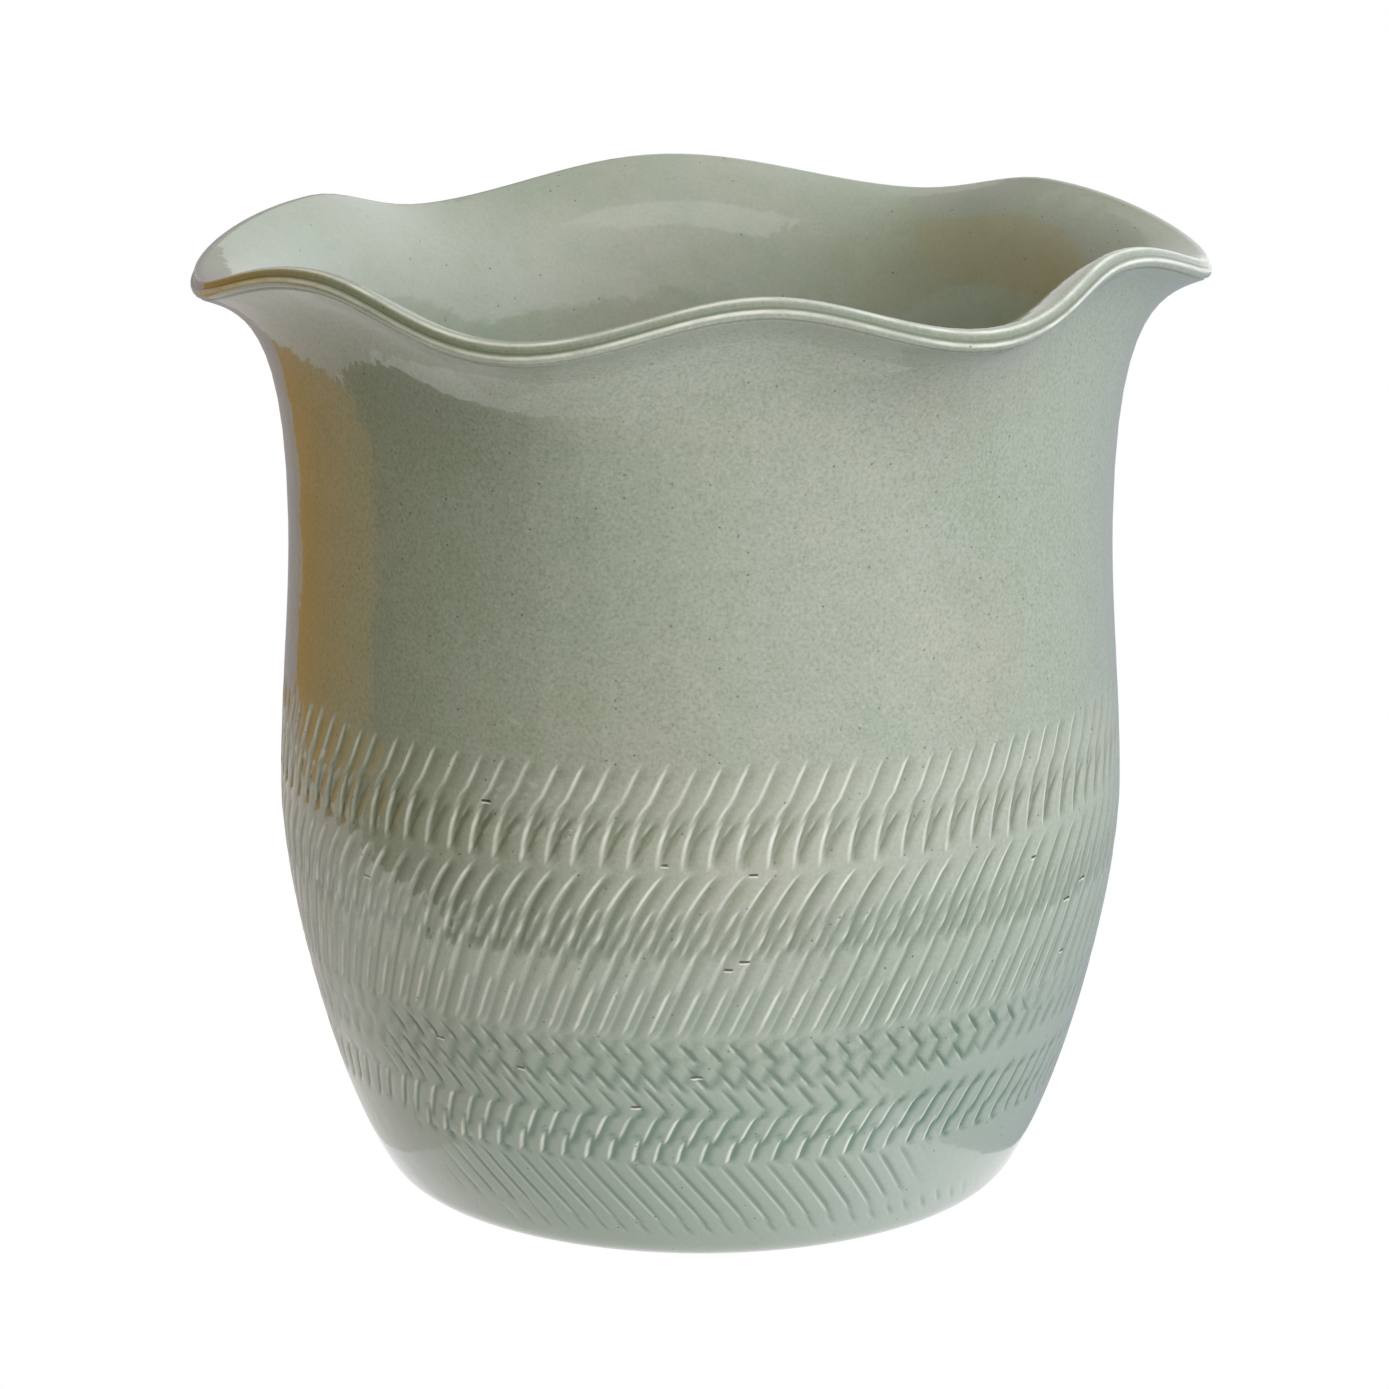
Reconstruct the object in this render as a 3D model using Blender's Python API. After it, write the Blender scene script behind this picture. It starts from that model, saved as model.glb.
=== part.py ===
"""Brush holder pot: a round stoneware pot thrown on the wheel, its flared rim pulled into six waves.

Metres, +Z up. The origin is on the pot's axis, in the plane that the foot ring stands on. Two solids
make it: the fired clay body with its bare foot, and the coat of glaze that covers everything else.
Each is turned as half an outline with a straight collar, and the collar is then flared and waved.
"""

import math

import bmesh
import bpy
from mathutils import Vector
from mathutils.geometry import interpolate_bezier

# The outside, over the glaze, from the foot up.
FOOT_RADIUS = 0.0390  # outer edge of the flat ring that the pot stands on
HEEL_RADIUS = FOOT_RADIUS + 0.0066  # where the rounded bottom edge meets the side
HEEL_HEIGHT = 0.0032
HEEL_LEAN = math.radians(33)  # how far the side leans out from upright there
BELLY_RADIUS = 0.0600
BELLY_HEIGHT = 0.0575
RIM_RADIUS = 0.0695  # mean radius and height of the rim's outer edge, before its waves
RIM_HEIGHT = 0.1328
COLLAR_HEIGHT = 0.0363  # from the waist, where the flare starts, up to the mean rim
WAIST_RADIUS = 0.0583
WAIST_HEIGHT = RIM_HEIGHT - COLLAR_HEIGHT

# The six waves of the rim: each low lobe and each crest at its angle, with how far it stands out
# from the mean radius and up from the mean height. The potter pulled them by hand, so they differ.
LOBES = ((1, 0.0011, -0.0021), (64, 0.0008, -0.0036), (126, 0.0006, -0.0050))
LOBES += ((187, 0.0007, -0.0031), (249, 0.0018, -0.0011), (302, 0.0022, -0.0005))
CRESTS = ((40, -0.0013, 0.0011), (94, -0.0001, 0.0006), (147, -0.0005, -0.0003))
CRESTS += ((222, -0.0007, 0.0044), (277, -0.0014, 0.0050), (328, -0.0030, 0.0050))
LOBE_LEAN = math.radians(72)  # how far the lip leans out from upright
CREST_LEAN = math.radians(58)
COLLAR_HOLD = 0.88  # how long the collar keeps upright, and how tight it turns out at the lip
LIP_HOLD = 0.18

# Thicknesses, with the glaze.
WALL = 0.0042
LIP = 0.0032
FLOOR = 0.0060
INSIDE_CORNER = 0.0100
INSIDE_LEAN = math.radians(18)  # how far the inner wall leans where it runs into that corner
FOOT_WIDTH = 0.0060
FOOT_RECESS = 0.0020  # how far the underside is trimmed up inside the foot ring
GLAZE = 0.0005
GLAZE_GAP = 0.0003  # clearance between the two solids, so that they only face each other
DRY_FOOT = 0.0009  # height of the wiped edge below the glaze
DRY_EDGE = 0.0028  # and how far outside the foot ring the glaze stops

COLUMNS = 60  # flats round the pot, the same for both solids
COLLAR_TOP = RIM_HEIGHT  # the straight collar ends level with the mean rim
ON_AXIS = 1e-6
WELD = 1e-5


def curve(start, start_handle, end_handle, end, pieces):
    """The points of one Bezier curve, without its first."""
    return interpolate_bezier(start, start_handle, end_handle, end, pieces + 1)[1:]


def arc(centre, radius, start, end, pieces):
    """The points of an arc from start to end, both in degrees, without its first."""
    angles = [math.radians(start + (end - start) * i / pieces) for i in range(1, pieces + 1)]
    return [centre + radius * Vector((math.cos(a), math.sin(a))) for a in angles]


def outside():
    """The outer side, as (radius, height), from the glaze's edge at the foot up to the waist."""
    edge = Vector((FOOT_RADIUS + DRY_EDGE, DRY_FOOT))
    heel = Vector((HEEL_RADIUS, HEEL_HEIGHT))
    belly = Vector((BELLY_RADIUS, BELLY_HEIGHT))
    waist = Vector((WAIST_RADIUS, WAIST_HEIGHT))
    upright = Vector((0, 1))
    rise = Vector((math.sin(HEEL_LEAN), math.cos(HEEL_LEAN)))
    heel_reach = (heel - edge).length / 3
    side_reach = (belly.y - heel.y) / 4
    waist_reach = (waist.y - belly.y) / 3
    points = [edge]
    points += curve(edge, edge + heel_reach * Vector((1, 0)), heel - heel_reach * rise, heel, 2)
    points += curve(heel, heel + side_reach * rise, belly - side_reach * upright, belly, 6)
    points += curve(belly, belly + waist_reach * upright, waist - waist_reach * upright, waist, 3)
    return points


def wall_at(height):
    """The wall's thickness: even up to the waist, then thinning to the lip."""
    climb = (height - WAIST_HEIGHT) / (COLLAR_TOP - WAIST_HEIGHT)
    return WALL + (LIP - WALL) * min(1, max(0, climb))


def side_at(points, height):
    """The radius at which an outline that climbs passes this height."""
    for low, high in zip(points, points[1:]):
        if low.y <= height <= high.y:
            return low.x + (high.x - low.x) * (height - low.y) / (high.y - low.y)


def glazed_outline():
    """The glazed surface as half an outline: up the outside, over the lip, and down to the floor."""
    outer = outside()
    shares = (0.3, 0.55, 0.75, 0.88, 0.95, 1)
    collar = [WAIST_HEIGHT + (COLLAR_TOP - WAIST_HEIGHT) * share for share in shares]
    outer += [Vector((WAIST_RADIUS, height)) for height in collar]
    lip_centre = Vector((WAIST_RADIUS - LIP / 2, COLLAR_TOP))
    floor_top = FOOT_RECESS + FLOOR
    corner_top = floor_top + INSIDE_CORNER * (1 - math.sin(INSIDE_LEAN))
    corner_side = side_at(outer, corner_top) - WALL
    corner = Vector((corner_side - INSIDE_CORNER * math.cos(INSIDE_LEAN), floor_top + INSIDE_CORNER))
    bend = arc(corner, INSIDE_CORNER, -math.degrees(INSIDE_LEAN), -90, 4)
    inner = [Vector((point.x - wall_at(point.y), point.y)) for point in reversed(outer)]
    inner = [point for point in inner[1:] if point.y > corner_top]
    floor = [Vector((corner.x / 2, floor_top)), Vector((0, floor_top))]
    return outer + arc(lip_centre, LIP / 2, 0, 180, 4) + inner + bend + floor


def sunk(outline, depth):
    """The same outline this deep in the pot: each point goes in square to the line it is on."""
    moved = []
    for i, point in enumerate(outline):
        run = outline[min(i + 1, len(outline) - 1)] - outline[max(i - 1, 0)]
        inward = Vector((-run.y, run.x)).normalized()
        if point.x < ON_AXIS:
            inward = Vector((0, -1))
        moved.append(point + depth * inward)
    return moved


def clay_outline():
    """The clay under the glaze, then its bare foot ring and the trimmed underside."""
    ring_inside = FOOT_RADIUS - FOOT_WIDTH
    foot = [
        Vector((0, FOOT_RECESS)),
        Vector((ring_inside - FOOT_RECESS, FOOT_RECESS)),
        Vector((ring_inside, 0)),
        Vector((FOOT_RADIUS, 0)),
    ]
    return foot + sunk(glazed_outline(), GLAZE + GLAZE_GAP)


def glaze_outline():
    """Both faces of the coat of glaze, joined at its edge above the foot."""
    return list(reversed(sunk(glazed_outline(), GLAZE))) + glazed_outline()


def rim_at(angle):
    """(out, up, lean) of the rim at an angle in degrees, swinging evenly from each lobe to each crest."""
    marks = [(*lobe, LOBE_LEAN) for lobe in LOBES] + [(*crest, CREST_LEAN) for crest in CRESTS]
    marks.sort()
    after = next((i for i, mark in enumerate(marks) if mark[0] > angle % 360), 0)
    low, high = marks[after - 1], marks[after]
    share = ((angle - low[0]) % 360) / ((high[0] - low[0]) % 360)
    swing = (1 - math.cos(math.pi * share)) / 2
    return [a + (b - a) * swing for a, b in zip(low[1:], high[1:])]


def flared(radius, height, angle):
    """Where a point of the straight collar goes when the collar is flared and its rim is waved."""
    out, up, lean = rim_at(angle)
    waist = Vector((WAIST_RADIUS, WAIST_HEIGHT))
    lip = Vector((RIM_RADIUS + out, RIM_HEIGHT + up))
    tall = lip.y - waist.y
    lip_run = Vector((math.sin(lean), math.cos(lean)))
    hold = waist + Vector((0, COLLAR_HOLD * tall))
    turn = lip - LIP_HOLD * tall * lip_run
    climb = min(1, (height - WAIST_HEIGHT) / (COLLAR_TOP - WAIST_HEIGHT))
    back = 1 - climb
    point = back**3 * waist + 3 * back**2 * climb * hold + 3 * back * climb**2 * turn + climb**3 * lip
    run = back**2 * (hold - waist) + 2 * back * climb * (turn - hold) + climb**2 * (lip - turn)
    run.normalize()
    inward = Vector((-run.y, run.x))
    return point + max(0, height - COLLAR_TOP) * run + (WAIST_RADIUS - radius) * inward


def turned(name, outline, material, collection):
    """A solid turned from its outline, with the part above the waist flared."""
    form = bmesh.new()
    verts = [form.verts.new((point.x, 0, point.y)) for point in outline]
    edges = [form.edges.new(pair) for pair in zip(verts, verts[1:])]
    turn = {"axis": (0, 0, 1), "cent": (0, 0, 0), "angle": math.tau, "steps": COLUMNS}
    bmesh.ops.spin(form, geom=verts + edges, use_merge=True, **turn)
    bmesh.ops.remove_doubles(form, verts=form.verts, dist=WELD)
    for vert in form.verts:
        x, y, height = vert.co
        if height <= WAIST_HEIGHT:
            continue
        angle = math.atan2(y, x)
        place = flared(math.hypot(x, y), height, math.degrees(angle))
        vert.co = (place.x * math.cos(angle), place.x * math.sin(angle), place.y)
    bmesh.ops.recalc_face_normals(form, faces=form.faces)
    mesh = bpy.data.meshes.new(name)
    form.to_mesh(mesh)
    form.free()
    mesh.shade_smooth()
    mesh.set_sharp_from_angle(angle=math.radians(40))
    mesh.materials.append(material)
    solid = bpy.data.objects.new(name, mesh)
    collection.objects.link(solid)
    return solid


def finish(name, colour, roughness):
    material = bpy.data.materials.new(name)
    material.use_nodes = True
    shader = material.node_tree.nodes["Principled BSDF"]
    shader.inputs["Base Color"].default_value = (*colour, 1)
    shader.inputs["Roughness"].default_value = roughness
    shader.inputs["Metallic"].default_value = 0
    return material


for item in list(bpy.data.objects):
    bpy.data.objects.remove(item)

pot = bpy.data.collections.new("brush_holder_pot")
bpy.context.scene.collection.children.link(pot)
turned("clay_body", clay_outline(), finish("fired_stoneware", (0.42, 0.31, 0.21), 0.85), pot)
turned("glaze_coat", glaze_outline(), finish("celadon_glaze", (0.36, 0.42, 0.33), 0.15), pot)
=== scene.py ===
"""Brush holder pot: stoneware thrown on the wheel, its rim pulled into six waves, in celadon glaze.

Metres, +Z up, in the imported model's frame: the pot's axis is the Z axis and it stands on z = 0.
"""

import math
import random

import bmesh
import bpy
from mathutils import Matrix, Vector
from mathutils.geometry import interpolate_bezier


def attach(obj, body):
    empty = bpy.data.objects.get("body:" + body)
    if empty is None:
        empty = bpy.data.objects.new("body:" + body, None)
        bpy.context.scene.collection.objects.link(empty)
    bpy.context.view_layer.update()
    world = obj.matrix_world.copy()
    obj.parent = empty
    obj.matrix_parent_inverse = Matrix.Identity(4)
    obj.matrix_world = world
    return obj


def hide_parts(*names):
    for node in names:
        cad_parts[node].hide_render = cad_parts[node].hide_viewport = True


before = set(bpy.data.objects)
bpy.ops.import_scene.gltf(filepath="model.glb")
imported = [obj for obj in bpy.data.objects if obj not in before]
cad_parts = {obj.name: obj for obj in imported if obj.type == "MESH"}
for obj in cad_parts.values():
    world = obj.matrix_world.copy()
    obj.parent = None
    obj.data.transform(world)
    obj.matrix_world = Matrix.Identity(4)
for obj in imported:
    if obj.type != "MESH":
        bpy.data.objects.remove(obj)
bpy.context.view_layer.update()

# CLAY BODY. One pot thrown in pale brown stoneware, 4 mm thick, its collar pulled out by hand into
# six waves and its foot trimmed on the wheel. The glaze hides all of it but the ring that it stands
# on and the recessed underside. It is fired in one piece, so nothing is fixed to it.
FOOT_RADIUS = 0.0390
FOOT_WIDTH = 0.0060
FOOT_RECESS = 0.0020
DRY_FOOT = 0.0009  # the wiped edge below the glaze: its height, and its width beyond the ring
DRY_EDGE = 0.0028
HEEL_RADIUS = 0.0456
HEEL_HEIGHT = 0.0032
HEEL_LEAN = math.radians(33)
BELLY_RADIUS = 0.0600
BELLY_HEIGHT = 0.0575
WAIST_RADIUS = 0.0583
WAIST_HEIGHT = 0.0965
RIM_RADIUS = 0.0695
RIM_HEIGHT = 0.1328
WALL = 0.0042
LIP = 0.0032
FLOOR = 0.0060
INSIDE_CORNER = 0.0100
INSIDE_LEAN = math.radians(18)
CLAY_DEPTH = 0.0008  # from the glaze's surface to the clay
CLAY_COLUMNS = 160
COLLAR_TOP = RIM_HEIGHT
LIP_MIDDLE = Vector((WAIST_RADIUS - LIP / 2, COLLAR_TOP))  # on the straight collar, before its flare
ON_AXIS = 1e-6
MERGE = 1e-6  # vertices closer than this are one

# The waves of the rim: angle, then how far out and up from its mean edge, at each lobe and crest.
LOBES = ((1, 0.0011, -0.0021), (64, 0.0008, -0.0036), (126, 0.0006, -0.0050))
LOBES += ((187, 0.0007, -0.0031), (249, 0.0018, -0.0011), (302, 0.0022, -0.0005))
CRESTS = ((40, -0.0013, 0.0011), (94, -0.0001, 0.0006), (147, -0.0005, -0.0003))
CRESTS += ((222, -0.0007, 0.0044), (277, -0.0014, 0.0050), (328, -0.0030, 0.0050))
LOBE_LEAN = math.radians(72)
CREST_LEAN = math.radians(58)
COLLAR_HOLD = 0.88  # the handles of the flare's curve, at the waist and at the lip, in collar heights
LIP_HOLD = 0.18
TRIM_RINGS = 7  # grooves that the trimming tool left under the pot
TRIM_DEPTH = 0.00012
TRIM_STEPS = 8  # points across each groove


def curve(start, start_handle, end_handle, end, pieces):
    """The points of one Bezier curve, without its first."""
    return interpolate_bezier(start, start_handle, end_handle, end, pieces + 1)[1:]


def arc(centre, radius, start, end, pieces):
    """The points of an arc from start to end, both in degrees, without its first."""
    angles = [math.radians(start + (end - start) * i / pieces) for i in range(1, pieces + 1)]
    return [centre + radius * Vector((math.cos(a), math.sin(a))) for a in angles]


def outside(fineness):
    """The outer side, as (radius, height), from the glaze's edge at the foot up to the waist."""
    edge = Vector((FOOT_RADIUS + DRY_EDGE, DRY_FOOT))
    heel = Vector((HEEL_RADIUS, HEEL_HEIGHT))
    belly = Vector((BELLY_RADIUS, BELLY_HEIGHT))
    waist = Vector((WAIST_RADIUS, WAIST_HEIGHT))
    upright = Vector((0, 1))
    rise = Vector((math.sin(HEEL_LEAN), math.cos(HEEL_LEAN)))
    heel_reach = (heel - edge).length / 3
    side_reach = (belly.y - heel.y) / 4
    waist_reach = (waist.y - belly.y) / 3
    heel_handles = (edge + heel_reach * Vector((1, 0)), heel - heel_reach * rise)
    side_handles = (heel + side_reach * rise, belly - side_reach * upright)
    waist_handles = (belly + waist_reach * upright, waist - waist_reach * upright)
    points = [edge]
    points += curve(edge, *heel_handles, heel, 2 * fineness)
    points += curve(heel, *side_handles, belly, 6 * fineness)
    points += curve(belly, *waist_handles, waist, 3 * fineness)
    return points


def collar(rows):
    """The heights of the rows up the straight collar, closer together towards the lip."""
    shares = [1 - (1 - (i + 1) / rows) ** 1.5 for i in range(rows)]
    return [WAIST_HEIGHT + (COLLAR_TOP - WAIST_HEIGHT) * share for share in shares]


def wall_at(height):
    """The wall's thickness: even up to the waist, then thinning to the lip."""
    climb = (height - WAIST_HEIGHT) / (COLLAR_TOP - WAIST_HEIGHT)
    return WALL + (LIP - WALL) * min(1, max(0, climb))


def side_at(points, height):
    """The radius at which an outline that climbs passes this height."""
    for low, high in zip(points, points[1:]):
        if low.y <= height <= high.y:
            return low.x + (high.x - low.x) * (height - low.y) / (high.y - low.y)


def inner_side(outer):
    """Down the inner wall, round the inside corner and across the floor to the axis."""
    floor_top = FOOT_RECESS + FLOOR
    corner_top = floor_top + INSIDE_CORNER * (1 - math.sin(INSIDE_LEAN))
    corner_side = side_at(outer, corner_top) - WALL
    corner = Vector((corner_side - INSIDE_CORNER * math.cos(INSIDE_LEAN), floor_top + INSIDE_CORNER))
    bend = arc(corner, INSIDE_CORNER, -math.degrees(INSIDE_LEAN), -90, 8)
    inner = [Vector((point.x - wall_at(point.y), point.y)) for point in reversed(outer)]
    inner = [point for point in inner[1:] if point.y > corner_top]
    return inner + bend + [Vector((corner.x / 2, floor_top)), Vector((0, floor_top))]


def plain_lip(pieces):
    """The round lip, from the top of the outer side over to the inner one."""
    return arc(LIP_MIDDLE, LIP / 2, 0, 180, pieces)


def sunk(outline, depth):
    """The same outline this deep in the pot: each point goes in square to the line it is on."""
    moved = []
    for i, point in enumerate(outline):
        run = outline[min(i + 1, len(outline) - 1)] - outline[max(i - 1, 0)]
        inward = Vector((-run.y, run.x)).normalized()
        if point.x < ON_AXIS:
            inward = Vector((0, -1))
        moved.append(point + depth * inward)
    return moved


def rim_at(angle):
    """(out, up, lean) of the rim at an angle in degrees, swinging evenly from each lobe to each crest."""
    marks = [(*lobe, LOBE_LEAN) for lobe in LOBES] + [(*crest, CREST_LEAN) for crest in CRESTS]
    marks.sort()
    after = next((i for i, mark in enumerate(marks) if mark[0] > angle % 360), 0)
    low, high = marks[after - 1], marks[after]
    share = ((angle - low[0]) % 360) / ((high[0] - low[0]) % 360)
    swing = (1 - math.cos(math.pi * share)) / 2
    return [a + (b - a) * swing for a, b in zip(low[1:], high[1:])]


def flared(radius, height, angle):
    """Where a point of the straight collar goes when the collar is flared and its rim is waved."""
    out, up, lean = rim_at(angle)
    waist = Vector((WAIST_RADIUS, WAIST_HEIGHT))
    lip = Vector((RIM_RADIUS + out, RIM_HEIGHT + up))
    tall = lip.y - waist.y
    lip_run = Vector((math.sin(lean), math.cos(lean)))
    hold = waist + Vector((0, COLLAR_HOLD * tall))
    turn = lip - LIP_HOLD * tall * lip_run
    climb = min(1, (height - WAIST_HEIGHT) / (COLLAR_TOP - WAIST_HEIGHT))
    back = 1 - climb
    point = back**3 * waist + 3 * back**2 * climb * hold
    point = point + 3 * back * climb**2 * turn + climb**3 * lip
    run = back**2 * (hold - waist) + 2 * back * climb * (turn - hold) + climb**2 * (lip - turn)
    run.normalize()
    inward = Vector((-run.y, run.x))
    return point + max(0, height - COLLAR_TOP) * run + (WAIST_RADIUS - radius) * inward


def spun(form, outline, columns):
    """Spins an outline once round the axis and returns the vertices that it makes."""
    before = set(form.verts)
    verts = [form.verts.new((point.x, 0, point.y)) for point in outline]
    edges = [form.edges.new(pair) for pair in zip(verts, verts[1:])]
    turn = {"axis": (0, 0, 1), "cent": (0, 0, 0), "angle": math.tau, "steps": columns}
    bmesh.ops.spin(form, geom=verts + edges, use_merge=True, **turn)
    return [vert for vert in form.verts if vert not in before]


def flare(verts):
    """Flares the collar that these vertices belong to, and waves its rim."""
    for vert in verts:
        x, y, height = vert.co
        if height <= WAIST_HEIGHT:
            continue
        angle = math.atan2(y, x)
        place = flared(math.hypot(x, y), height, math.degrees(angle))
        vert.co = (place.x * math.cos(angle), place.x * math.sin(angle), place.y)


def piece_from(form, name, material):
    """Closes the mesh's poles, turns its faces outwards and makes it an object."""
    bmesh.ops.remove_doubles(form, verts=form.verts, dist=MERGE)
    bmesh.ops.recalc_face_normals(form, faces=form.faces)
    mesh = bpy.data.meshes.new(name)
    form.to_mesh(mesh)
    form.free()
    mesh.shade_smooth()
    mesh.materials.append(material)
    made = bpy.data.objects.new(name, mesh)
    bpy.context.scene.collection.objects.link(made)
    return made


def node_maker(tree):
    """A short way to add a node: its kind, settings, and what feeds its inputs by name or number."""
    def add(kind, settings=(), **feeds):
        node = tree.nodes.new("ShaderNode" + kind)
        for name, value in dict(settings).items():
            setattr(node, name, value)
        for key, value in feeds.items():
            socket = node.inputs[int(key[1:]) if key[1:].isdigit() else key.replace("_", " ")]
            if isinstance(value, bpy.types.NodeSocket):
                tree.links.new(value, socket)
            else:
                socket.default_value = value
        return node
    return add


def grain_group():
    """Uneven grain, as clay and glaze both have: fine specks on soft blotches, 0 to 1."""
    group = bpy.data.node_groups.new("kiln_grain", "ShaderNodeTree")
    sides = {"Place": "INPUT", "Fine": "INPUT", "Blotch": "INPUT"}
    sides |= {"Grain": "OUTPUT", "Cloud": "OUTPUT"}
    for name, side in sides.items():
        kind = "NodeSocketVector" if name == "Place" else "NodeSocketFloat"
        group.interface.new_socket(name, in_out=side, socket_type=kind)
    add = node_maker(group)
    given = group.nodes.new("NodeGroupInput")
    result = group.nodes.new("NodeGroupOutput")
    place, fine_scale, blotch_scale = (given.outputs[name] for name in ("Place", "Fine", "Blotch"))
    fine = add("TexNoise", Vector=place, Scale=fine_scale, Detail=3.0, Roughness=0.65)
    soft = add("TexNoise", Vector=place, Scale=blotch_scale, Detail=2.0)
    group.links.new(fine.outputs["Fac"], result.inputs["Grain"])
    group.links.new(soft.outputs["Fac"], result.inputs["Cloud"])
    return group


kiln_grain = grain_group()


def placed_grain(tree, place, fine, blotch):
    """The kiln_grain group in a material, at this material's own grain sizes."""
    node = tree.nodes.new("ShaderNodeGroup")
    node.node_tree = kiln_grain
    tree.links.new(place, node.inputs["Place"])
    node.inputs["Fine"].default_value = fine
    node.inputs["Blotch"].default_value = blotch
    return node


def bare_clay():
    """Unglazed stoneware: matte toasted brown with sandy grain."""
    sandy, toasted = (0.42, 0.30, 0.20, 1), (0.26, 0.18, 0.11, 1)
    material = bpy.data.materials.new("bare_stoneware")
    material.use_nodes = True
    tree = material.node_tree
    add = node_maker(tree)
    shader = tree.nodes["Principled BSDF"]
    shader.inputs["Roughness"].default_value = 0.85
    place = add("TexCoord").outputs["Object"]
    grain = placed_grain(tree, place, 1900.0, 130.0)
    shade = add("Mix", {"data_type": "RGBA"}, _0=grain.outputs["Grain"])
    shade.inputs["A"].default_value = sandy
    shade.inputs["B"].default_value = toasted
    tree.links.new(shade.outputs[2], shader.inputs["Base Color"])
    bump = add("Bump", Height=grain.outputs["Grain"], Strength=0.5, Distance=0.0002)
    tree.links.new(bump.outputs["Normal"], shader.inputs["Normal"])
    return material


def turned_underside():
    """The foot ring, and the recessed underside with the rings that the trimming tool left."""
    ring_inside = FOOT_RADIUS - FOOT_WIDTH
    reach = ring_inside - FOOT_RECESS
    steps = TRIM_STEPS * TRIM_RINGS
    base = [Vector((0, FOOT_RECESS))]
    for i in range(1, steps):
        depth = TRIM_DEPTH * (1 - math.cos(math.tau * i / TRIM_STEPS))
        base.append(Vector((reach * i / steps, FOOT_RECESS + depth)))
    base.append(Vector((reach, FOOT_RECESS)))
    # A wet sponge has softened the ring's edges.
    base.append(Vector((ring_inside - 0.0003, 0.0003)))
    base.append(Vector((ring_inside + 0.0004, 0)))
    base.append(Vector((FOOT_RADIUS - 0.0005, 0)))
    base.append(Vector((FOOT_RADIUS + 0.0002, 0.00015)))
    base.append(Vector((FOOT_RADIUS + DRY_EDGE - 0.0001, DRY_FOOT + 0.0001)))
    return base


def clay_piece():
    """The pot's body: its turned underside, then the glazed outline sunk to the clay's surface."""
    outer = outside(2)
    glazed = outer + [Vector((WAIST_RADIUS, height)) for height in collar(12)]
    glazed += plain_lip(6) + inner_side(glazed)
    form = bmesh.new()
    flare(spun(form, turned_underside() + sunk(glazed, CLAY_DEPTH)[2:], CLAY_COLUMNS))
    return piece_from(form, "clay_pot", bare_clay())


clay = clay_piece()
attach(clay, "root")
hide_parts("clay_body")

# GLAZE. Grey-green celadon over the whole pot but its foot, fused to the clay. Under it the turner's
# tool has chattered rows of scoops about 4 mm apart: the glaze runs thin and pale on their sharp
# edges, and pools deep and green beside them. Its colour also carries painted light there: painted
# highlights on the edges and painted shade in the hollows. The lip is two thrown beads with a groove
# between.
SKIN_DEPTH = 0.00065  # to the hidden underside of the coat
SKIN_COLUMNS = 72
WALL_COLUMNS = 160
MARKS = 100  # scoops in one turn of the pot
STEPS = 8  # columns of the mesh to each scoop
BAND_TOP = 0.0780
MM = 0.001
TALL_ROW = 1.2 * MM  # the mesh's rows where the marks are long
SHORT_ROW = 0.62 * MM  # and below the next height, where they are short
TALL_ROWS_END = 0.0380
SHORT_MARKS_TOP = 37  # mm
LEAD_IN = 2.2  # mm down from a scoop's top over which it deepens
RUN_OUT = 1.4  # mm up from its foot over which it ends
MOST_SHIFT = 2.3  # mm, more than a scoop ever starts above or ends below the heights of its pass
PASS_START = 2  # mm above a pass's top from where its marks lean on their own
QUIET_EDGE = 5  # degrees to each side of a quiet stretch's ends over which the marks fade

# The passes of the tool, from the top down. Heights in mm where a pass's marks start and end, the
# lean of a mark at both (mm round the pot for each mm up), how many marks it is turned by from the
# rows above, its depth in mm, how much of the pitch a scoop fades over, and the stretches, as
# (angle, half width) in degrees, where the tool ran quiet.
PASSES = (
    (75.8, 69.2, 0.45, 0.42, 0.000, 0.26, 0.70, ()),
    (70.8, 61.0, 0.62, -0.05, 0.000, 0.36, 0.55, ()),
    (68.6, 61.4, 0.80, 0.30, 0.500, 0.44, 0.40, ()),
    (60.6, 48.4, 0.80, 0.15, 0.500, 0.38, 0.60, ()),
    (55.6, 47.8, 0.60, 0.40, 0.875, 0.34, 0.40, ()),
    (51.5, 36.2, 0.43, 0.43, 0.250, 0.32, 0.45, ()),
    (44.5, 37.0, 0.43, 0.43, 0.750, 0.22, 0.35, ()),
    (40.4, 38.2, -0.60, -0.60, 0.500, 0.16, 0.30, ((340, 30),)),
    (37.8, 32.8, 0.50, 0.50, 0.250, 0.17, 0.45, ()),
    (36.4, 32.4, -0.85, -0.85, 0.500, 0.44, 0.32, ((350, 26), (195, 26))),
    (34.2, 28.8, 0.55, 0.45, 0.625, 0.24, 0.45, ()),
    (32.6, 28.2, -0.85, -0.85, 0.250, 0.42, 0.32, ((345, 32), (195, 24))),
    (29.4, 24.8, -0.80, -0.80, 0.750, 0.38, 0.30, ((335, 40), (195, 24))),
    (26.4, 19.2, 0.60, 0.35, 0.375, 0.36, 0.45, ()),
    (22.6, 19.8, -0.75, -0.75, 0.500, 0.30, 0.30, ((340, 40), (200, 24))),
    (21.4, 16.6, 0.60, 0.00, 0.000, 0.40, 0.42, ((200, 22),)),
    (17.4, 8.2, -0.75, -0.75, 0.000, 0.36, 0.24, ((340, 34), (200, 28))),
    (12.4, 6.4, -0.75, -0.75, 0.500, 0.22, 0.22, ((340, 40), (200, 40))),
    (7.8, 4.6, -0.70, -0.70, 0.375, 0.28, 0.26, ((345, 22), (205, 30))),
)
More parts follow.
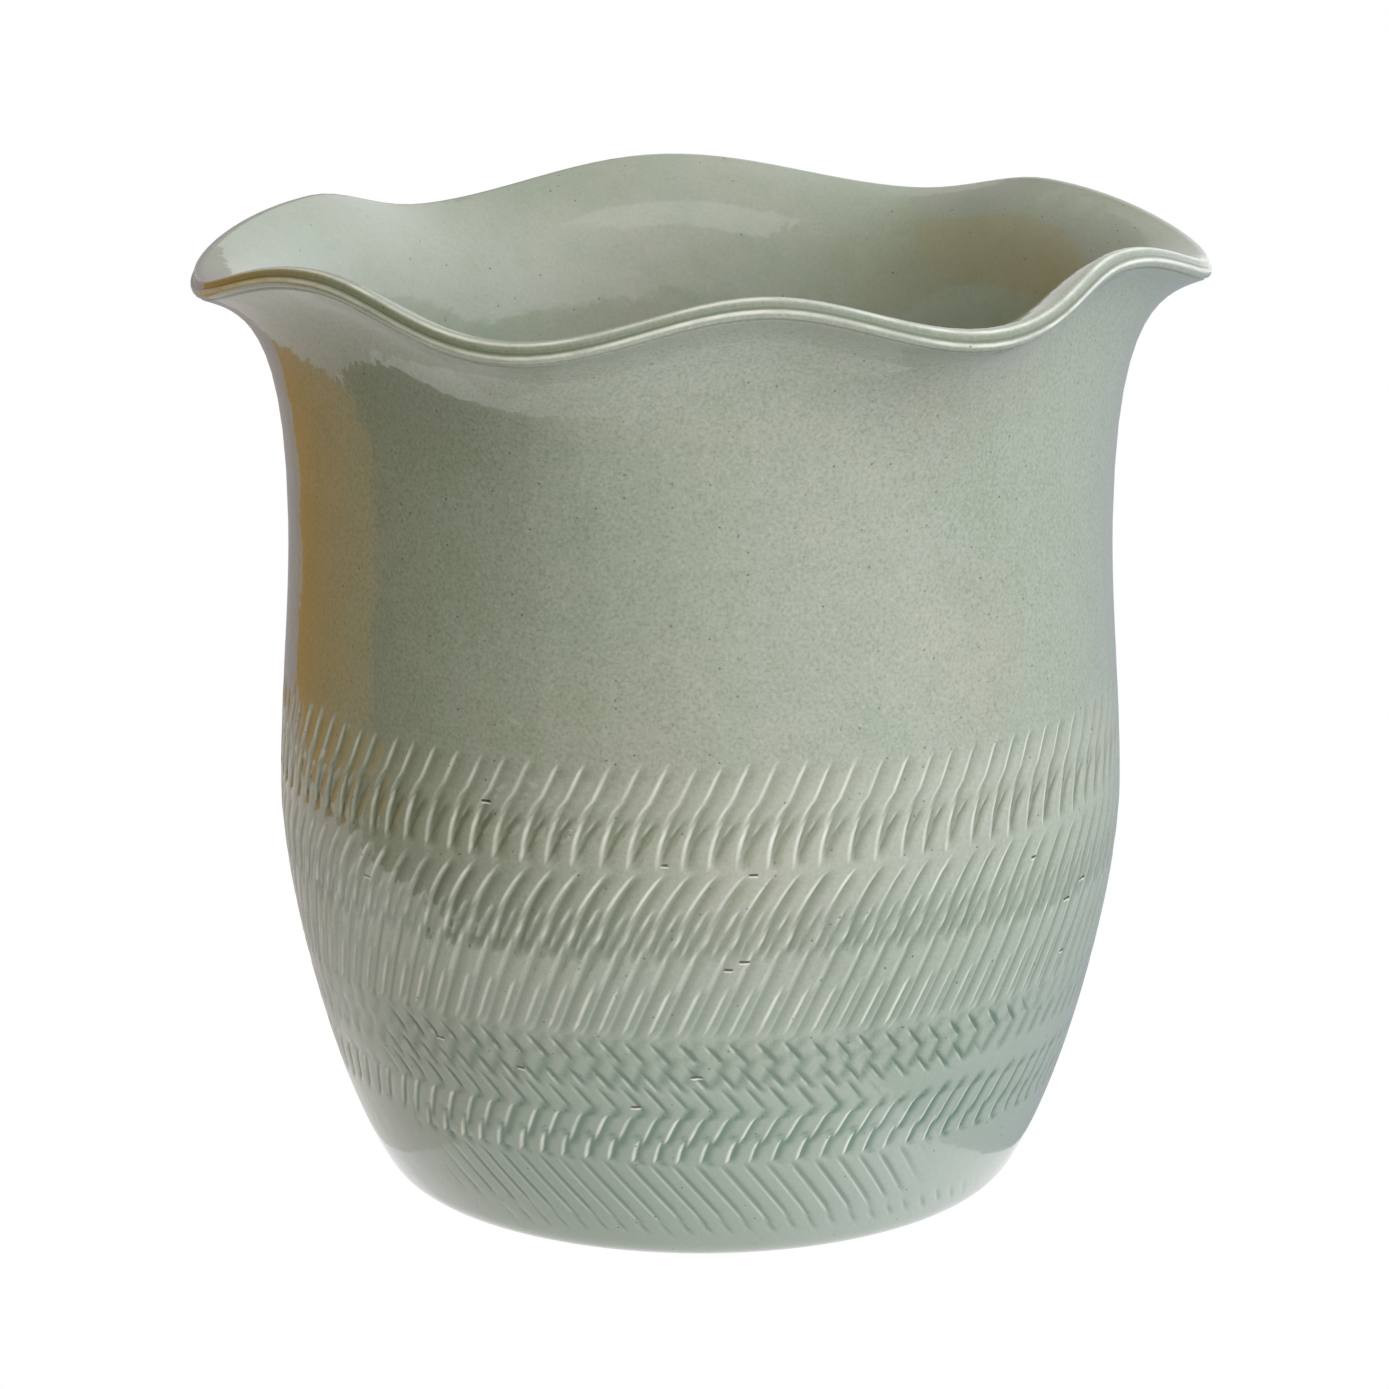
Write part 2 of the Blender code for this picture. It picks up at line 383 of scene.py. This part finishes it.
# The lean that the mesh's columns take, so that its edges run along the strongest marks.
COLUMN_LEANS = (
    (78.0, 0.45), (69.6, 0.45), (69.4, 0.58), (61.0, -0.05), (60.8, 0.80), (48.4, 0.20),
    (48.2, 0.43), (36.8, 0.43), (36.2, -0.85), (24.9, -0.80), (24.5, 0.55), (17.7, 0.20),
    (17.3, -0.75), (0.0, -0.75),
)


def ramp(low, high, value):
    """0 at low and 1 at high, eased at both ends."""
    share = min(1, max(0, (value - low) / (high - low)))
    return share * share * (3 - 2 * share)


def column_lean(height):
    """The lean of the mesh's columns at a height in mm."""
    for (high, at_high), (low, at_low) in zip(COLUMN_LEANS, COLUMN_LEANS[1:]):
        if low <= height <= high:
            return at_low + (at_high - at_low) * (height - low) / (high - low)
    return 0


def band_outline():
    """The marked band's rows, from its top down to the glaze's edge: wider where the marks are long."""
    points = outside(16)
    heights = []
    height = BAND_TOP
    while height > HEEL_HEIGHT:
        heights.append(height)
        height -= TALL_ROW if height > TALL_ROWS_END else SHORT_ROW
    side = [Vector((side_at(points, height), height)) for height in heights]
    foot = [point for point in reversed(points) if point.y < heights[-1] - 0.3 * MM]
    every = 8  # below the marks, this many points of the fine outline make one row
    return side + foot[::every] + ([foot[-1]] if (len(foot) - 1) % every else [])


def column_turns(rows):
    """How far round the pot, in radians, the columns have moved at each row."""
    turns = [0.0]
    for above, row in zip(rows, rows[1:]):
        lean = column_lean((above.y + row.y) / 2 / MM)
        turns.append(turns[-1] - lean * (above.y - row.y) / row.x)
    return turns


def pass_turns(one, rows, turns):
    """For each row, how far one pass's marks are from the columns, in marks."""
    top, foot, lean_top, lean_foot, shift = one[:5]
    offsets = []
    own = None
    for i, row in enumerate(rows):
        height = row.y / MM
        if own is None and height < top + PASS_START:
            own = turns[i] + shift * math.tau / MARKS
        elif own is not None:
            share = min(1, max(0, (height - foot) / (top - foot)))
            lean = lean_foot + (lean_top - lean_foot) * share
            own -= lean * (rows[i - 1].y - row.y) / row.x
        offsets.append(0 if own is None else (own - turns[i]) * MARKS / math.tau)
    return offsets


def quiet(angle, gaps):
    """1 where a pass marks the clay, 0 in the stretches where its tool ran quiet."""
    cut = 1
    for middle, half in gaps:
        away = abs((angle - middle + 180) % 360 - 180)
        cut *= ramp(half - QUIET_EDGE, half + QUIET_EDGE, away)
    return cut


def scoop(phase, rise, fade):
    """The depth of one scoop across its width: none at its edge, deepest just past it, then fading."""
    if phase < rise:
        return phase / rise
    return max(0, 1 - (phase - rise) / fade) ** 1.4


def pass_cut(one, phase, luck, height, sway, degrees):
    """(depth in mm, sharpness) that one pass leaves at one place on the band."""
    top, foot, lean_top, lean_foot, shift, depth, fade, gaps = one
    start, end, force = luck
    # Each scoop starts and ends a little out of line, and is pressed with its own force.
    top += sway + 0.6 * start - 0.1
    foot += sway - 0.7 * end
    if not foot < height < top:
        return 0, 0
    strength = ramp(top, top - LEAD_IN, height) * ramp(foot, foot + RUN_OUT, height)
    strength *= (0.75 + 0.25 * force) * quiet(degrees, gaps)
    # A mark that runs across the mesh's columns needs more of them for its sharp side.
    across = abs((lean_top + lean_foot) / 2 - column_lean(height)) > 0.5
    cut = strength * depth * scoop(phase, (3 if across else 1) / STEPS, fade)
    # How pale a scoop's edge is tinted, partly as a painted highlight: less where the mark runs across
    # the columns, and less on marks that lean back.
    near = max(0, 1 - min(phase, 1 - phase) * STEPS)
    near *= (0.15 if across else 1) * (0.45 if lean_top < 0 else 1)
    return cut, near * strength * min(1, depth / 0.3)


def reaches(one, height):
    """Whether any mark of this pass can reach a height in mm."""
    return one[1] - MOST_SHIFT < height < one[0] + MOST_SHIFT


def facing_inwards(rows):
    """The direction square into the pot at each row."""
    inwards = []
    for i in range(len(rows)):
        run = rows[min(i + 1, len(rows) - 1)] - rows[max(i - 1, 0)]
        inwards.append(Vector((run.y, -run.x)).normalized())
    return inwards


def marked_band(form, pool, edge):
    """Rolls a grid into the marked band, and sets each vertex in by the depth of the marks there."""
    rows = band_outline()
    columns = MARKS * STEPS
    old = set(form.verts)
    bmesh.ops.create_grid(form, x_segments=columns, y_segments=len(rows) - 1, size=0.5)
    turns = column_turns(rows)
    offsets = [pass_turns(one, rows, turns) for one in PASSES]
    draw = random.Random(5)
    chance = [[(draw.random(), draw.random(), draw.random()) for mark in range(MARKS)] for one in PASSES]
    wander = [draw.uniform(-0.10, 0.10) for mark in range(MARKS)]
    heights = [row.y / MM for row in rows]
    cutting = [[k for k, one in enumerate(PASSES) if reaches(one, height)] for height in heights]
    inwards = facing_inwards(rows)
    band = [vert for vert in form.verts if vert not in old]
    for vert in band:
        # The grid is 1 wide and 1 tall: its columns go round the pot, and its rows go down it.
        column = round((vert.co.x + 0.5) * columns)
        i = round((0.5 - vert.co.y) * (len(rows) - 1))
        mark, step = divmod(column % columns, STEPS)
        drift = wander[mark] + (wander[(mark + 1) % MARKS] - wander[mark]) * step / STEPS
        turn = math.tau * (column % columns / STEPS + drift) / MARKS + turns[i]
        sway = 0.5 * math.sin(turn + 2.4) + 0.25 * math.sin(3 * turn)
        degrees = math.degrees(turn) % 360
        deepest, sharpest = 0, 0
        for k in cutting[i]:
            where = (column % columns) / STEPS - offsets[k][i]
            which = math.floor(where)
            luck = chance[k][which % MARKS]
            cut, sharp = pass_cut(PASSES[k], where - which, luck, heights[i], sway, degrees)
            deepest = max(deepest, cut)
            sharpest = max(sharpest, sharp)
        place = rows[i] + deepest * MM * inwards[i]
        vert.co = (place.x * math.cos(turn), place.x * math.sin(turn), place.y)
        # The same depth pools more glaze, with more painted shade, in the short marks, and an edge down
        # in a hollow gets neither its pale tint nor its painted highlight.
        vert[pool] = deepest / (0.22 if heights[i] < SHORT_MARKS_TOP else 0.32)
        vert[edge] = max(0, sharpest - deepest / 0.30)
    bmesh.ops.remove_doubles(form, verts=band, dist=MERGE)
    return [vert for vert in band if vert.is_valid]


def bump_at(angle, middle, width):
    """1 at one angle of the lip's round and less to each side of it. All three are in degrees."""
    return math.exp(-(((angle - middle) / width) ** 2))


def beaded_lip(pieces):
    """The lip: a bead on each side and a groove between, with a fine undercut below the outer bead."""
    points = []
    for i in range(1, pieces + 1):
        angle = 180 * i / pieces
        groove = 0.34 * bump_at(angle, 95, 19) + 0.28 * bump_at(angle, 77, 8)
        undercut = 0.22 * bump_at(angle, 8, 9)
        out = LIP / 2 - (groove + undercut) * MM
        turn = math.radians(angle)
        points.append(LIP_MIDDLE + out * Vector((math.cos(turn), math.sin(turn))))
    return points


def edge_loop(form, verts):
    """The open edges that lie between these vertices."""
    chosen = set(verts)
    return [e for e in form.edges if len(e.link_faces) < 2 and set(e.verts) <= chosen]


def mark_lip(vert, away, pool, edge):
    """Deep glaze with painted shade in the lip's groove and undercut, and thin glaze with painted
    highlights on its two beads.
    """
    angle = math.degrees(math.atan2(away.y, away.x))
    # The dark line low in the groove and the dark undercut are painted shade. The pale lines along the
    # two beads are thin glaze and painted highlights.
    groove = 0.85 * bump_at(angle, 95, 20) + 1.2 * bump_at(angle, 76, 7)
    vert[pool] = groove + 0.9 * bump_at(angle, 8, 8)
    vert[edge] = 0.9 * bump_at(angle, 57, 8) + 0.8 * bump_at(angle, 128, 9)


def open_ring(form, verts, top):
    """The open edges that run round these vertices below a height and beyond the foot ring."""
    beyond_foot = FOOT_RADIUS + 1 * MM
    return edge_loop(form, [v for v in verts if v.co.z < top and v.co.xy.length > beyond_foot])


def glaze_piece(material):
    """The coat: wall, lip and inside, then its hidden underside and the marked band, joined up."""
    form = bmesh.new()
    pool = form.verts.layers.float.new("pool")
    edge = form.verts.layers.float.new("edge")
    within = form.verts.layers.float.new("within")
    fine = outside(8)
    wall = [point for point in fine if point.y > BAND_TOP + 2.2 * MM][::2]
    collar_rows = 16
    wall += [Vector((WAIST_RADIUS, height)) for height in collar(collar_rows)]
    upper = wall + beaded_lip(36) + inner_side(outside(3) + wall[-collar_rows:])
    above = spun(form, upper, WALL_COLUMNS)
    for vert in above:
        radius, height = math.hypot(vert.co.x, vert.co.y), vert.co.z
        away = Vector((radius, height)) - LIP_MIDDLE
        vert[within] = 1 if radius < WAIST_RADIUS - LIP + 0.1 * MM else 0
        if height > COLLAR_TOP - 0.01 * MM and away.length < LIP:
            mark_lip(vert, away, pool, edge)
    hidden = outside(2) + [Vector((WAIST_RADIUS, height)) for height in collar(10)]
    hidden += plain_lip(5) + inner_side(hidden)
    skin = spun(form, sunk(hidden, SKIN_DEPTH), SKIN_COLUMNS)
    band = marked_band(form, pool, edge)
    band_top = edge_loop(form, [v for v in band if v.co.z > BAND_TOP - 0.5 * MM])
    band_foot = edge_loop(form, [v for v in band if v.co.z < DRY_FOOT + 0.1 * MM])
    above_foot = open_ring(form, above, wall[0].y + 0.5 * MM)
    skin_foot = open_ring(form, skin, DRY_FOOT + 1.2 * MM)
    bmesh.ops.bridge_loops(form, edges=band_top + above_foot)
    bmesh.ops.bridge_loops(form, edges=band_foot + skin_foot)
    flare(above + skin)
    return piece_from(form, "celadon_glaze", material)


def joiners(tree, add):
    """Three short ways to join nodes: blend two colours, respan a value, and multiply two values."""
    def blend(first, second, amount):
        mix = add("Mix", {"data_type": "RGBA", "clamp_factor": True}, _0=amount)
        for socket, value in ((mix.inputs[6], first), (mix.inputs[7], second)):
            if isinstance(value, tuple):
                socket.default_value = (*value, 1)
            else:
                tree.links.new(value, socket)
        return mix.outputs[2]

    def span(value, low, high, to_low=0.0, to_high=1.0):
        return add("MapRange", _0=value, _1=low, _2=high, _3=to_low, _4=to_high).outputs[0]

    def times(first, second):
        return add("Math", {"operation": "MULTIPLY"}, _0=first, _1=second).outputs[0]

    return blend, span, times


def iron_specks(add, place, span, times):
    """A mask of small dark specks, in about one in eight cells of a 1.25 mm pattern."""
    cells = add("TexVoronoi", {"feature": "F1"}, Vector=place, Scale=800.0)
    small = span(cells.outputs["Distance"], 0.10, 0.17, 1.0, 0.0)
    chosen = add("SeparateColor", _0=cells.outputs["Color"])
    rare = span(chosen.outputs[0], 0.86, 0.90)
    return times(times(small, rare), 0.8)


def level_nicks(add, place, height, span, times):
    """Masks for short level nicks in the marked band: painted shade in each one's slit, and a painted
    highlight on the sill below it.

    A nick lies at the middle of a 9.5 mm cell, where that middle is at the surface.
    """
    cells = add("TexVoronoi", {"feature": "F1"}, Vector=place, Scale=105.0)
    middle = cells.outputs["Position"]
    away = add("VectorMath", {"operation": "SUBTRACT"}, _0=place, _1=middle).outputs[0]
    across = add("VectorMath", {"operation": "MULTIPLY"}, _0=away, _1=(1, 1, 0)).outputs[0]
    reach = add("VectorMath", {"operation": "LENGTH"}, _0=across).outputs["Value"]
    marked = times(span(height, 0.076, 0.075), span(height, 0.018, 0.020))
    short = times(span(reach, 0.0009, 0.0007), marked)
    rise = add("SeparateXYZ", _0=away).outputs[2]
    off_slit = add("Math", {"operation": "ABSOLUTE"}, _0=rise).outputs[0]
    below = add("Math", {"operation": "ADD"}, _0=rise, _1=0.00032).outputs[0]
    off_sill = add("Math", {"operation": "ABSOLUTE"}, _0=below).outputs[0]
    slit_shade = times(span(off_slit, 0.00020, 0.00014), short)
    sill_highlight = times(span(off_sill, 0.00014, 0.00009), short)
    return slit_shade, sill_highlight


def mottle(add, place, grain, blend, span, times):
    """The glaze's own colour on plain ground: cool and warm clouds, green blotches and fine flecks."""
    cool, warm, green = (0.335, 0.375, 0.295), (0.400, 0.378, 0.300), (0.280, 0.335, 0.235)
    light_fleck, dark_fleck = (0.47, 0.48, 0.42), (0.20, 0.235, 0.165)
    drift = add("TexNoise", Vector=place, Scale=26.0, Detail=2.0)
    tone = blend(cool, warm, span(drift.outputs["Fac"], 0.45, 0.66, 0.0, 0.60))
    tone = blend(tone, green, span(grain.outputs["Cloud"], 0.42, 0.72, 0.0, 0.45))
    # The flecks are fainter inside the pot.
    within = add("Attribute", {"attribute_name": "within"}).outputs["Fac"]
    strength = span(within, 0.0, 1.0, 0.62, 0.22)
    light = span(grain.outputs["Grain"], 0.52, 0.72)
    dark = span(grain.outputs["Grain"], 0.48, 0.30)
    tone = blend(tone, light_fleck, times(light, strength))
    return blend(tone, dark_fleck, times(dark, strength))


def celadon():
    """Glossy translucent grey-green glaze: mottled, speckled, green in hollows with painted shade, and
    pale on edges with painted highlights.
    """
    # The pale edge tint is thin glaze and a painted highlight. The two deep hollow tints are pooled glaze
    # and painted shade.
    band_tone, foot_tone, thin_glaze_and_highlight = (0.47, 0.49, 0.41), (0.262, 0.362, 0.305), (0.80, 0.79, 0.70)
    pool_shade_above, pool_shade_below = (0.105, 0.130, 0.062), (0.062, 0.155, 0.105)
    # The nicks' slit and sill tones are painted shade and a painted highlight.
    iron, sill_highlight_tone, slit_shade_tone = (0.10, 0.11, 0.07), (0.70, 0.70, 0.62), (0.05, 0.05, 0.03)
    wiped_clay = (0.26, 0.17, 0.10)
    material = bpy.data.materials.new("celadon_glaze")
    material.use_nodes = True
    tree = material.node_tree
    add = node_maker(tree)
    blend, span, times = joiners(tree, add)
    shader = tree.nodes["Principled BSDF"]
    place = add("TexCoord").outputs["Object"]
    grain = placed_grain(tree, place, 1900.0, 170.0)
    pool = add("Attribute", {"attribute_name": "pool"}).outputs["Fac"]
    edge = add("Attribute", {"attribute_name": "edge"}).outputs["Fac"]
    height = add("SeparateXYZ", _0=place).outputs[2]
    # Ground: paler from the band's top down, and bluer towards the foot.
    tone = mottle(add, place, grain, blend, span, times)
    tone = blend(tone, band_tone, span(height, 0.077, 0.072, 0.0, 0.36))
    low_down = span(height, 0.062, 0.022)
    tone = blend(tone, foot_tone, times(low_down, 0.55))
    # Marks: deep glaze darkened with painted shade in the hollows, and thin glaze paled with a painted
    # highlight on the edges, fainter in patches.
    pool_shade = blend(pool_shade_above, pool_shade_below, low_down)
    tone = blend(tone, pool_shade, span(pool, 0.12, 1.15, 0.0, 0.82))
    patchiness = span(grain.outputs["Cloud"], 0.35, 0.60, 0.45, 1.0)
    tone = blend(tone, thin_glaze_and_highlight, times(span(edge, 0.08, 0.70, 0.0, 0.90), patchiness))
    # Small faults: iron specks, nicks with painted shade in the slit and a painted highlight on the sill,
    # and the brown line where the glaze thins at the foot.
    tone = blend(tone, iron, iron_specks(add, place, span, times))
    slit_shade, sill_highlight = level_nicks(add, place, height, span, times)
    tone = blend(tone, sill_highlight_tone, sill_highlight)
    tone = blend(tone, slit_shade_tone, slit_shade)
    tone = blend(tone, wiped_clay, span(height, 0.0015, 0.0010, 0.0, 0.85))
    tree.links.new(tone, shader.inputs["Base Color"])
    shader.inputs["Coat Weight"].default_value = 1.0
    shader.inputs["Coat IOR"].default_value = 1.6
    shader.inputs["Coat Roughness"].default_value = 0.05
    shader.inputs["Roughness"].default_value = 0.32
    peel = add("TexNoise", Vector=place, Scale=220.0, Detail=2.5)
    rough = add("Bump", Height=peel.outputs["Fac"], Strength=0.20, Distance=0.0006)
    tree.links.new(rough.outputs["Normal"], shader.inputs["Normal"])
    tree.links.new(rough.outputs["Normal"], shader.inputs["Coat Normal"])
    return material


glaze = glaze_piece(celadon())
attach(glaze, "root")
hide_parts("glaze_coat")

# STUDIO. A white floor in a room that is bright on the right and dim and warm on the left, one broad
# lamp high on the right, and cards that only show as reflections. It isn't part of the pot.
scene = bpy.context.scene


def studio_object(form, name, colour, strength):
    """Makes a bmesh a studio object that gives out one even colour and reflects nothing."""
    look = bpy.data.materials.new(name)
    look.use_nodes = True
    shader = look.node_tree.nodes["Principled BSDF"]
    shader.inputs["Base Color"].default_value = (0, 0, 0, 1)
    shader.inputs["Specular IOR Level"].default_value = 0
    shader.inputs["Emission Color"].default_value = (*colour, 1)
    shader.inputs["Emission Strength"].default_value = strength
    mesh = bpy.data.meshes.new(name)
    form.to_mesh(mesh)
    form.free()
    mesh.materials.append(look)
    made = bpy.data.objects.new(name, mesh)
    scene.collection.objects.link(made)
    made.visible_diffuse = False
    return made


floor_form = bmesh.new()
bmesh.ops.create_circle(floor_form, cap_ends=True, segments=64, radius=6)
studio_floor = studio_object(floor_form, "studio_floor", (1, 1, 1), 1.0)

room = bpy.data.worlds.new("white_room")
room.use_nodes = True
scene.world = room
room_add = node_maker(room.node_tree)
seen = room_add("LightPath").outputs["Is Camera Ray"]
side = room_add("SeparateXYZ", _0=room_add("TexCoord").outputs["Generated"]).outputs[0]
towards = room_add("MapRange", _0=side, _1=-0.8, _2=0.7)
dim_left, bright_right, backdrop = (0.25, 0.21, 0.10, 1), (1.12, 1.17, 1.23, 1), (1.05, 1.05, 1.05, 1)
walls = room_add("Mix", {"data_type": "RGBA"}, _0=towards.outputs[0])
walls.inputs[6].default_value = dim_left
walls.inputs[7].default_value = bright_right
shown = room_add("Mix", {"data_type": "RGBA"}, _0=seen)
room.node_tree.links.new(walls.outputs[2], shown.inputs[6])
shown.inputs[7].default_value = backdrop
room.node_tree.links.new(shown.outputs[2], room.node_tree.nodes["Background"].inputs["Color"])


def softbox(name, place, size, watts, tint):
    """A square lamp that faces the pot."""
    lamp = bpy.data.lights.new(name, "AREA")
    lamp.shape = "RECTANGLE"
    lamp.size, lamp.size_y = size
    lamp.energy = watts
    lamp.color = tint
    made = bpy.data.objects.new(name, lamp)
    made.location = place
    made.rotation_euler = (Vector((0, 0, 0.07)) - Vector(place)).to_track_quat("-Z", "Y").to_euler()
    scene.collection.objects.link(made)
    return made


key_light = softbox("key_light", (0.88, -1.15, 1.15), (1.3, 1.3), 14, (1.0, 1.0, 1.0))
key_light.visible_glossy = False


def card(name, corners, colour, strength):
    """A flat card that the camera doesn't see, and that only shows as a reflection in the glaze."""
    form = bmesh.new()
    form.faces.new([form.verts.new(corner) for corner in corners])
    made = studio_object(form, name, colour, strength)
    made.visible_camera = False
    made.visible_shadow = False


ON_FLOOR = 0.0005  # how far above the floor the cards lie
BOARD_TOP = 0.4


def board(name, start, end, colour, strength):
    """An upright card along a line on the floor."""
    low = [(*start, ON_FLOOR), (*end, ON_FLOOR)]
    card(name, low + [(*end, BOARD_TOP), (*start, BOARD_TOP)], colour, strength)


board("ochre_board", (-0.385, 0.030), (-0.190, 0.195), (0.40, 0.20, 0.015), 1.0)
board("lilac_board", (-0.189, 0.196), (-0.030, 0.330), (0.36, 0.33, 0.34), 1.0)
# The dark table past the straight edge of the sheet under the pot, in sectors that fade to the front:
# each starts at a share of the edge, and has its own shade.
EDGE_START = Vector((-0.390, 0.160))
EDGE_END = Vector((0.058, -0.265))
SECTORS = ((0.00, 0.05), (0.53, 0.09), (0.64, 0.30), (0.72, 0.56), (0.83, 0.78), (0.90, 0.92))
TABLE_TOP = 0.0006
shares = [share for share, shade in SECTORS] + [1.0]
for k, (share, shade) in enumerate(SECTORS):
    near = EDGE_START.lerp(EDGE_END, share)
    far = EDGE_START.lerp(EDGE_END, shares[k + 1])
    corners = [(*point, TABLE_TOP) for point in (near, far, 5 * far, 5 * near)]
    card(f"dark_table_{k + 1}", corners, (shade, shade, 0.85 * shade), 1.0)
# Grey mats on the right, darker towards the back, and two paler ones on the left.
for k, shade in enumerate((0.85, 0.72, 0.58, 0.46)):
    front = -0.22 + 0.04 * k
    back = front + 0.04 if k < 3 else 0.60
    corners = [(0.05, front), (0.60, front), (0.60, back), (0.05, back)]
    colour = (0.92 * shade, shade, 1.04 * shade)
    card(f"grey_mat_{k + 1}", [(*corner, ON_FLOOR) for corner in corners], colour, 1.0)
far_left = [(-0.05, 0.03), (-0.05, 0.50), (-0.42, 0.50), (-0.42, 0.03)]
card("left_mat", [(*corner, ON_FLOOR) for corner in far_left], (0.58, 0.56, 0.53), 1.0)
near_left = [(-0.05, -0.06), (-0.05, 0.03), (-0.13, 0.03), (-0.13, -0.06)]
card("near_mat", [(*corner, ON_FLOOR) for corner in near_left], (0.78, 0.76, 0.74), 1.0)
overhead = [(-0.12, -0.62, 0.70), (0.18, -0.62, 0.70), (0.18, -0.30, 0.90), (-0.12, -0.30, 0.90)]
card("overhead_card", overhead, (0.93, 0.96, 1.0), 1.6)


# The camera stands in front of the pot and looks down at it.
eye = bpy.data.cameras.new("camera")
eye.sensor_width = 36
eye.lens = 148.15
camera = bpy.data.objects.new("camera", eye)
camera.location = (-0.00084, -0.78897, 0.2822)
camera.rotation_euler = (math.radians(74.94), 0, 0)
scene.collection.objects.link(camera)
scene.camera = camera
scene.view_settings.view_transform = "Standard"
